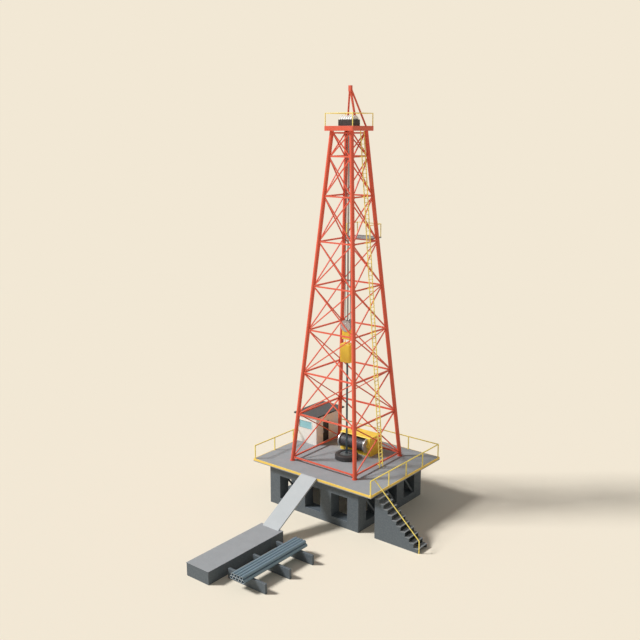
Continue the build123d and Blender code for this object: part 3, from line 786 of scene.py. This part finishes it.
@dataclass
class Derrick(Assembly):
    """Legs, face lattices with their gussets, ladder and the derrickman's platform."""

    floor: float = 3.456
    crown: float = 28.906
    half_foot: float = 3.05
    half_head: float = 0.892
    leg_r: float = 0.158
    leg_sides: int = 40
    leg_cover: float = 0.9
    girts: tuple[float, ...] = (0.29, 3.84, 7.20, 10.57, 13.97, 17.35, 20.72, 23.62, 25.30)
    gusset_reach: float = 0.17
    gusset_half: float = 0.12
    gusset_cut: float = 0.045
    gusset_t: float = 0.012
    gusset_least: float = 0.45
    gusset_bolts: tuple[float, float] = (0.35, 0.75)
    crossing: float = 0.08
    crossing_least: float = 0.5
    bar_half: float = 0.056
    bar_thin: float = 0.039
    bar_swell: float = 0.006
    bolt_size: float = 0.014
    collar_out: float = 0.045
    collar_t: float = 0.03
    collar_sides: int = 32
    collar_bolts: int = 8
    collar_bolt: float = 0.012
    collar_bolt_in: float = 0.022

    def build(self) -> list[Piece]:
        """Build and dress the tower.

        Returns:
            The pieces.
        """
        faces = [f"derrick_face_{side}" for side in ("front", "right", "rear", "left")]
        return [
            self._legs(),
            *[self.skin(face, DERRICK_RED, edge=0.006, swell=self.bar_swell) for face in faces],
            self._top_bracing(),
            self.skin("monkey_board", FLOOR_GREY, edge=0.008),
            self.skin("monkey_board_rail", RAIL_YELLOW),
            self.skin("ladder", RAIL_YELLOW, edge=0.003, swell=self.bar_swell),
            self._gussets(),
            self._crossings(),
            self._collars(),
        ]

    def _legs(self) -> Piece:
        """Make the four round legs, as thick from foot to head as the photograph shows them.

        Returns:
            The legs.
        """
        shop = Shop("derrick_legs_dressed")
        low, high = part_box("derrick_legs")
        for sx, sy in QUARTERS:
            shop.rod((sx * self.half_foot, sy * self.half_foot, low.z),
                     (sx * self.half_head, sy * self.half_head, high.z), self.leg_r, self.leg_sides)
        return shop.done(DERRICK_RED, "derrick_legs")

    def _top_bracing(self) -> Piece:
        """Cross two bars in the short bay under the top girt of each face.

        Returns:
            The bars.
        """
        shop = Shop("derrick_top_bracing")
        low, high = self.girts[-2:]
        for face, side in product(FACES, (-1, 1)):
            start = self._on_face(face, side * self._inner(low), low)
            end = self._on_face(face, -side * self._inner(high), high)
            shop.bar(start, end, 2 * self.bar_thin, edge=0.006)
        return shop.done(DERRICK_RED)

    def _half(self, height: float) -> float:
        """Half the distance between leg centre lines at a height above the floor."""
        rise = self.crown - self.floor
        return self.half_foot - (self.half_foot - self.half_head) * height / rise

    def _inner(self, height: float) -> float:
        """Distance from a face's middle line to the near side of its legs."""
        return self._half(height) - self.leg_cover * self.leg_r

    def _size(self, least: float, height: float) -> float:
        """Share of its size at the foot that a plate keeps at a height, down to the least."""
        return least + (1 - least) * self._half(height) / self.half_foot

    def _on_face(self, face: tuple[int, int], along: float, height: float,
                 out: float = 0.0) -> Vector:
        """Find a point on one face of the derrick.

        Args:
            face: the way the face looks, in x and y.
            along: distance from the face's middle line.
            height: height above the floor.
            out: distance outwards from the leg centre lines.

        Returns:
            The point.
        """
        nx, ny = face
        reach = self._half(height) + out
        return Vector((nx * reach - ny * along, ny * reach + nx * along, self.floor + height))

    def _gussets(self) -> Piece:
        """Add a bolted plate where each level girt meets a leg.

        Returns:
            The plates.
        """
        shop = Shop("derrick_gussets")
        cut, t = self.gusset_cut, self.gusset_t
        out = self.bar_half + t / 2
        for face, height, side in product(FACES, self.girts, (-1, 1)):
            low = max(cut, height - self.gusset_half)
            high = min(self.crown - self.floor - cut, height + self.gusset_half)
            reach = self.gusset_reach * self._size(self.gusset_least, height)
            outline = [(low, 0), (low, cut), (height - cut, reach), (height + cut, reach),
                       (high, cut), (high, 0)]
            shop.plate([self._on_face(face, side * (self._inner(h) - inset), h, out)
                        for h, inset in outline], t)
            for share in self.gusset_bolts:
                spot = self._on_face(face, side * (self._inner(height) - share * reach), height,
                                     out + t / 2)
                shop.bolt(spot, (*face, 0), self.bolt_size)
        return shop.done(DERRICK_RED)

    def _crossings(self) -> Piece:
        """Add a bolted plate where the two bars of each X cross.

        Returns:
            The plates.
        """
        shop = Shop("derrick_crossing_plates")
        t = self.gusset_t
        out = self.bar_thin + t / 2
        for face, (low, high) in product(FACES, pairwise(self.girts)):
            if face == FRONT and low == self.girts[0]:
                continue
            a, b = self._half(low), self._half(high)
            height = low + (high - low) * a / (a + b)
            size = self.crossing * self._size(self.crossing_least, low)
            tips = ((-size, 0), (0, -size), (size, 0), (0, size))
            shop.plate([self._on_face(face, along, height + up, out) for along, up in tips], t)
            for along, up in tips:
                spot = self._on_face(face, along / 2, height + up / 2, out + t / 2)
                shop.bolt(spot, (*face, 0), self.bolt_size)
        return shop.done(DERRICK_RED)

    def _collars(self) -> Piece:
        """Add the welded and bolted foot collar of each leg.

        Returns:
            The collars.
        """
        shop = Shop("derrick_feet")
        collar, top = self.leg_r + self.collar_out, self.floor + self.collar_t
        for sx, sy in QUARTERS:
            x, y = sx * self.half_foot, sy * self.half_foot
            shop.rod((x, y, self.floor), (x, y, top), collar, self.collar_sides, edge=0.005)
            shop.bolt_ring((x, y, top), UP, collar - self.collar_bolt_in, self.collar_bolts,
                           self.collar_bolt)
        return shop.done(DERRICK_RED)


@dataclass
class Crown(Assembly):
    """Crown platform, its rail, the block frame, the sheaves and the gin pole."""

    cap_r: float = 0.11
    cap_t: float = 0.03
    cap_bore: float = 0.012
    cap_sunk: float = 0.002
    cap_slope: tuple[float, float] = (0.6, 0.8)
    cap_sides: int = 40
    cap_bolts: int = 6
    cap_bolt: float = 0.009
    cap_bolt_at: tuple[float, float] = (0.7, 0.84)
    shaft_z: float = 29.626
    bolt_pitch: float = 0.257
    bolt_in: float = 0.06
    bolt_size: float = 0.016
    pole_w: float = 0.125
    pole_foot: tuple[float, float] = (0.86, 0.94)
    pole_head: tuple[float, float] = (0.052, 0.13)
    apex_half: tuple[float, float] = (0.125, 0.095)
    apex_h: float = 0.42

    def build(self) -> list[Piece]:
        """Build and dress the top of the derrick.

        Returns:
            The pieces.
        """
        return [
            self.skin("crown_platform", DERRICK_RED, edge=0.012),
            self.skin("crown_handrail", RAIL_YELLOW, edge=0.008),
            self.skin("crown_block_frame", BLOCK_DARK, edge=0.02),
            self.skin("crown_sheaves", SHEAVE_PALE, edge=0.006, body=Body.CROWN_SHEAVES),
            self._gin_pole(),
            self._caps(),
            self._bolts(),
        ]

    def _gin_pole(self) -> Piece:
        """Lean the three poles together under their head, as thick as the photograph shows them.

        Returns:
            The gin pole.
        """
        shop = Shop("gin_pole_dressed")
        deck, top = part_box("crown_platform")[1].z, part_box("gin_pole")[1].z
        (foot_x, foot_y), (head_x, head_y) = self.pole_foot, self.pole_head
        half_x, half_y = self.apex_half
        for side in (-1, 0, 1):
            start = Vector((side * foot_x, foot_y, deck - self.pole_w / 2))
            end = Vector((side * head_x, head_y, top - self.apex_h / 2))
            shop.bar(start, end, self.pole_w, edge=0.01)
        shop.span((-half_x, head_y - half_y, top - self.apex_h), (half_x, head_y + half_y, top),
                  edge=0.012)
        return shop.done(DERRICK_RED, "gin_pole")

    def _caps(self) -> Piece:
        """Close the two bearings of the sheave shaft with bolted caps.

        Returns:
            The caps.
        """
        shop = Shop("crown_bearing_caps")
        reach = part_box("crown_block_frame")[1].x
        r, t, bore = self.cap_r, self.cap_t, self.cap_bore
        rim, face = self.cap_slope
        level, ring = self.cap_bolt_at
        outline = [(-self.cap_sunk, bore), (-self.cap_sunk, r), (t * rim, r), (t, r * face),
                   (t, bore)]
        for side in (-1, 1):
            way = (side, 0, 0)
            shop.lathe(outline, (side * reach, 0, self.shaft_z), way, self.cap_sides)
            shop.bolt_ring((side * (reach + t * level), 0, self.shaft_z), way, r * ring,
                           self.cap_bolts, self.cap_bolt, first=0)
        return shop.done(BLOCK_DARK)

    def _bolts(self) -> Piece:
        """Bolt round the four sides of the platform's beams.

        Returns:
            The bolts.
        """
        shop = Shop("crown_beam_bolts")
        low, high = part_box("crown_platform")
        count = round((high.x - low.x) / self.bolt_pitch) - 1
        levels = (low.z + self.bolt_in, high.z - self.bolt_in)
        for k, level, side in product(range(count), levels, (low.y, high.y)):
            along, way = low.x + (k + 1) * self.bolt_pitch, math.copysign(1, side)
            shop.bolt((along, side, level), (0, way, 0), self.bolt_size)
            shop.bolt((side, along, level), (way, 0, 0), self.bolt_size)
        return shop.done(DERRICK_RED)


@dataclass
class Hoist(Assembly):
    """Lines, travelling block, top drive and drill string."""

    solid_r: float = 0.022
    line_r: float = 0.030
    line_sides: int = 14
    cover_in: float = 0.10
    cover_out: float = 0.010
    bolt_in: float = 0.05
    bolt_size: float = 0.014

    def build(self) -> list[Piece]:
        """Build and dress what hangs from the crown.

        Returns:
            The pieces.
        """
        return [
            self._lines(),
            self.skin("travelling_block", HOIST_YELLOW, edge=0.02, body=Body.HOIST),
            self.skin("block_sheaves", BRIGHT, edge=0.012, body=Body.BLOCK_SHEAVES),
            self.skin("top_drive", HOIST_YELLOW, edge=0.035, body=Body.HOIST),
            self._covers(),
            self.skin("drill_string", STRING_BLUE, body=Body.STRING),
        ]

    def _covers(self) -> Piece:
        """Bolt a flat cover to each side of the top drive's housing.

        Returns:
            The covers.
        """
        shop = Shop("top_drive_covers")
        low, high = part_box("top_drive")
        mid, t, rim = (low + high) / 2, self.cover_out, self.cover_in
        half_z = (high.z - low.z) / 2 - rim
        for nx, ny in FACES:
            out, side = Vector((nx, ny, 0)), Vector((-ny, nx, 0))
            reach = (high.x if nx else high.y) + t / 2
            half = (high.y if nx else high.x) - rim
            size = [abs(out[i]) * t + abs(side[i]) * 2 * half for i in (0, 1)]
            shop.block(mid + out * reach, (*size, 2 * half_z), edge=0.004)
            for along, up in product((-1, 1), (-1, 0, 1)):
                spot = mid + out * (reach + t / 2) + side * along * (half - self.bolt_in)
                shop.bolt(spot + Vector(UP) * up * (half_z - self.bolt_in), out, self.bolt_size)
        return shop.done(HOIST_YELLOW, body=Body.HOIST)

    def _lines(self) -> Piece:
        """Make the four lines, which run from the crown to the block.

        Returns:
            The lines.
        """
        low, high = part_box("drilling_lines")
        shop = Shop("drilling_lines_dressed")
        r = self.solid_r
        for x, y in product((low.x + r, high.x - r), (low.y + r, high.y - r)):
            shop.rod((x, y, low.z), (x, y, high.z), self.line_r, self.line_sides)
        lines = shop.done(WIRE, "drilling_lines")
        lines.parent = None
        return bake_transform(lines)


@dataclass
class Machinery(Assembly):
    """Rotary table and drawworks."""

    drum_r: float = 0.45
    drum_z: float = 4.326
    drum_y: float = 1.30
    drum_sides: int = 48
    barrel: tuple[float, float] = (-1.375, 0.965)
    flange_gap: float = 0.004
    flange_facing: float = 0.9
    ridges: int = 60
    ridge_up: float = 0.008
    ridge_sunk: float = 0.004
    ridge_steps: tuple[float, ...] = (0.06, 0.32, 0.68, 0.94)
    ring_bolts: int = 24
    ring_r: float = 0.66
    ring_bolt: float = 0.018
    table_bolts: int = 12
    table_r: float = 0.43
    table_bolt: float = 0.016
    table_rim: float = 0.05

    def build(self) -> list[Piece]:
        """Build and dress the machines on the floor.

        Returns:
            The pieces.
        """
        drum = self.skin("drawworks_drum", DRUM_BLACK, edge=0.006, body=Body.DRUM)
        repaint(drum, BRIGHT, self._on_flange)
        housing, table = Shop("rotary_bolts"), Shop("turntable_bolts")
        housing_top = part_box("rotary_housing")[1].z
        table_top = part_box("rotary_turntable")[1].z - self.table_rim
        housing.bolt_ring((0, 0, housing_top), UP, self.ring_r, self.ring_bolts, self.ring_bolt)
        table.bolt_ring((0, 0, table_top), UP, self.table_r, self.table_bolts, self.table_bolt)
        return [
            self.skin("rotary_housing", ROTARY_BLACK, edge=0.004),
            self.skin("rotary_turntable", TABLE_STEEL, edge=0.006, body=Body.TURNTABLE),
            self.skin("drawworks_housing", HOIST_YELLOW, edge=0.012),
            drum,
            self._rope_ridges(),
            housing.done(ROTARY_BLACK),
            table.done(TABLE_STEEL, body=Body.TURNTABLE),
        ]

    def _rope_ridges(self) -> Piece:
        """Add the ridges between the rope grooves of the drum's barrel.

        Returns:
            The ridges.
        """
        shop = Shop("drum_rope_ridges")
        start, end = self.barrel
        step = (end - start) / self.ridges
        low, high = self.drum_r - self.ridge_sunk, self.drum_r + self.ridge_up
        outline = [(share * step, r) for share, r in zip(self.ridge_steps, (low, high, high, low))]
        for k in range(self.ridges):
            place = (start + k * step, self.drum_y, self.drum_z)
            shop.lathe(outline, place, (1, 0, 0), self.drum_sides)
        return shop.done(DRUM_BLACK, body=Body.DRUM)

    def _on_flange(self, centre: Vector, normal: Vector) -> bool:
        """Say whether a face of the drum, with its middle and normal, belongs to a flange."""
        away = math.hypot(centre.y - self.drum_y, centre.z - self.drum_z)
        return away > self.drum_r + self.flange_gap or abs(normal.x) > self.flange_facing


@dataclass
class Cabin(Assembly):
    """The driller's cabin with its window trim and door fittings."""

    upright: float = 0.7
    trim: float = 0.05
    trim_out: float = 0.012
    gasket: float = 0.014
    gasket_back: float = 0.018
    handle_in: float = 0.10
    plate_size: Point = (0.008, 0.05, 0.20)
    plate_out: float = 0.003
    stem_up: float = 0.06
    stem_out: float = 0.034
    stem_r: float = 0.007
    grip_up: float = 0.075
    grip_out: float = 0.030
    grip_r: float = 0.010
    stem_sides: int = 12
    rod_sides: int = 16
    knuckles: tuple[float, ...] = (0.14, 0.5, 0.86)
    knuckle_r: float = 0.014
    knuckle_h: float = 0.12
    knuckle_out: float = 0.006
    rim: float = 0.002

    def build(self) -> list[Piece]:
        """Build and dress the cabin.

        Returns:
            The pieces.
        """
        walls = ("cabin_shell", "cabin_wall_front", "cabin_wall_right")
        roof = repaint(self.skin("cabin_roof", ROOF_GREY, edge=0.012), FASCIA_BLACK,
                       lambda centre, normal: abs(normal.z) < self.upright)
        return [
            *[self.skin(wall, CABIN_WHITE, edge=0.003) for wall in walls],
            roof,
            self.skin("cabin_door", DOOR_DARK, edge=0.004, body=Body.DOOR),
            self.skin("cabin_window", GLASS),
            self._frame("cabin_window_trim", self.trim, self.trim_out, CABIN_WHITE),
            self._frame("cabin_window_gasket", -self.gasket, -self.gasket_back, DRUM_BLACK),
            self._door_fittings(),
        ]

    def _frame(self, name: str, width: float, out: float, finish: Finish) -> Piece:
        """Run a flat frame round the window.

        Args:
            name: the piece's name.
            width: how far it reaches outwards from the opening's edge, or inwards if negative.
            out: how far it stands out of the wall, or lies back in it if negative.
            finish: its surface.

        Returns:
            The frame.
        """
        shop = Shop(name)
        low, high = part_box("cabin_window")
        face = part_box("cabin_wall_front")[0].y
        x0, x1, x2, x3 = *sorted((low.x - width, low.x)), *sorted((high.x, high.x + width))
        z0, z1, z2, z3 = *sorted((low.z - width, low.z)), *sorted((high.z, high.z + width))
        sides = ((x0, x1, z0, z3), (x2, x3, z0, z3), (x1, x2, z0, z1), (x1, x2, z2, z3))
        for left, right, foot, head in sides:
            shop.span((left, face - out, foot), (right, low.y, head), edge=0.003)
        return shop.done(finish)

    def _door_fittings(self) -> Piece:
        """Add the door's handle on its back plate and its three hinge knuckles.

        Returns:
            The fittings.
        """
        shop = Shop("cabin_door_fittings")
        low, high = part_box("cabin_door")
        x, y, z = high.x, low.y + self.handle_in, (low.z + high.z) / 2
        shop.block((x + self.plate_out, y, z), self.plate_size, self.rim)
        for end in (-self.stem_up, self.stem_up):
            shop.rod((x, y, z + end), (x + self.stem_out, y, z + end), self.stem_r, self.stem_sides)
        grip, reach, sides = x + self.grip_out, self.grip_up, self.rod_sides
        shop.rod((grip, y, z - reach), (grip, y, z + reach), self.grip_r, sides, self.rim)
        side, half = high.y + self.knuckle_out, self.knuckle_h / 2
        for share in self.knuckles:
            mid = low.z + share * (high.z - low.z)
            shop.rod((low.x, side, mid - half), (low.x, side, mid + half), self.knuckle_r, sides,
                     self.rim)
        return shop.done(BRIGHT, body=Body.DOOR)


@dataclass
class Studio:
    """Floor, surroundings, lamp and camera."""

    eye: Point = (37.798, -50.636, 28.966)
    azimuth: float = 38.664
    drop: float = 12.709
    lens: float = 47.40
    sensor: float = 36.0
    sight: float = 3000.0
    backdrop: Colour = field(default_factory=lambda: screen(242, 232, 213))
    sun_height: float = 43.0
    sun_azimuth: float = -51.3
    sky_share: float = 0.25
    sun_spread: float = 12.0
    floor_half: float = 900.0
    fade: tuple[float, float] = (45.0, 110.0)

    def build(self) -> None:
        """Make the floor, the light and the camera."""
        self._floor()
        self._world()
        self._sun()
        self._camera()

    def _floor(self) -> None:
        """Lay a wide pale floor that keeps the rig's shadow and fades into the backdrop."""
        s = self.floor_half
        mesh = bpy.data.meshes.new("studio_floor")
        mesh.from_pydata([(-s, -s, 0), (s, -s, 0), (s, s, 0), (-s, s, 0)], [], [(0, 1, 2, 3)])
        floor = hang("studio_floor", mesh)
        mat = bpy.data.materials.new("studio_floor_paint")
        mat.use_nodes = True
        tree, pale = mat.node_tree, (*self.backdrop, 1)
        shader = feed(tree.nodes["Principled BSDF"], {
            "Roughness": 1, "Specular IOR Level": 0, "Base Color": pale})
        glow = make_node(tree, "Emission", {"Color": pale})
        coords = make_node(tree, "TexCoord", {})
        away = make_node(tree, "VectorMath", {0: coords.outputs["Object"]})
        away.operation = "LENGTH"
        near, far = self.fade
        span = make_node(tree, "MapRange", {
            "Value": away.outputs["Value"], "From Min": near, "From Max": far})
        span.interpolation_type = "SMOOTHSTEP"
        mix = make_node(tree, "MixShader", {
            0: span.outputs["Result"], 1: shader.outputs["BSDF"], 2: glow.outputs["Emission"]})
        feed(tree.nodes["Material Output"], {"Surface": mix.outputs["Shader"]})
        mesh.materials.append(mat)

    def _world(self) -> None:
        """Light softly from all round, and show the backdrop to the camera and in reflections."""
        world = bpy.data.worlds.new("studio_world")
        bpy.context.scene.world = world
        world.use_nodes = True
        tree = world.node_tree
        light = feed(tree.nodes["Background"], {
            "Color": (1, 1, 1, 1), "Strength": self.sky_share})
        back = make_node(tree, "Background", {"Color": (*self.backdrop, 1)})
        rays = make_node(tree, "LightPath", {}).outputs
        seen = rays["Is Camera Ray"]
        for ray in ("Is Glossy Ray", "Is Transmission Ray"):
            seen = merge(tree, "MAXIMUM", seen, rays[ray])
        mix = make_node(tree, "MixShader", {
            0: seen, 1: light.outputs["Background"], 2: back.outputs["Background"]})
        feed(tree.nodes["World Output"], {"Surface": mix.outputs["Shader"]})

    def _sun(self) -> None:
        """Hang one broad soft lamp on the left, which with the sky lights level ground fully."""
        lamp = bpy.data.lights.new("studio_sun", "SUN")
        lamp.energy = (1 - self.sky_share) / math.sin(math.radians(self.sun_height)) * math.pi
        lamp.angle = math.radians(self.sun_spread)
        self._aim(hang("studio_sun", lamp), self.sun_azimuth, self.sun_height)

    def _camera(self) -> None:
        """Place the camera where the photograph was taken from."""
        data = bpy.data.cameras.new("studio_camera")
        data.lens = self.lens
        data.sensor_width = self.sensor
        data.clip_end = self.sight
        camera = hang("studio_camera", data)
        camera.location = self.eye
        self._aim(camera, self.azimuth, self.drop)
        bpy.context.scene.camera = camera

    def _aim(self, thing: Piece, azimuth: float, height: float) -> None:
        """Point the lamp or the camera at the rig.

        Args:
            thing: the lamp or the camera.
            azimuth: where it is, in degrees from the front towards the stair side.
            height: how high it is, in degrees above the ground.
        """
        a, e = math.radians(azimuth), math.radians(height)
        back = Vector((math.sin(a) * math.cos(e), -math.cos(a) * math.cos(e), math.sin(e)))
        thing.rotation_mode = "QUATERNION"
        thing.rotation_quaternion = back.to_track_quat("Z", "Y")


def main() -> None:
    """Build every sub-assembly in order and report its pieces."""
    logging.basicConfig(level=logging.INFO, format="%(message)s", stream=sys.stdout)
    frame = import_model()
    for kind in (Substructure, DrillFloor, Yard, Derrick, Crown, Hoist, Machinery, Cabin):
        for piece in kind(frame).build():
            log.info("%s: %s, %d faces", kind.__name__, piece.name, len(piece.data.polygons))
    Studio().build()
    bpy.context.scene.view_settings.view_transform = "Standard"


if __name__ == "__main__":
    main()
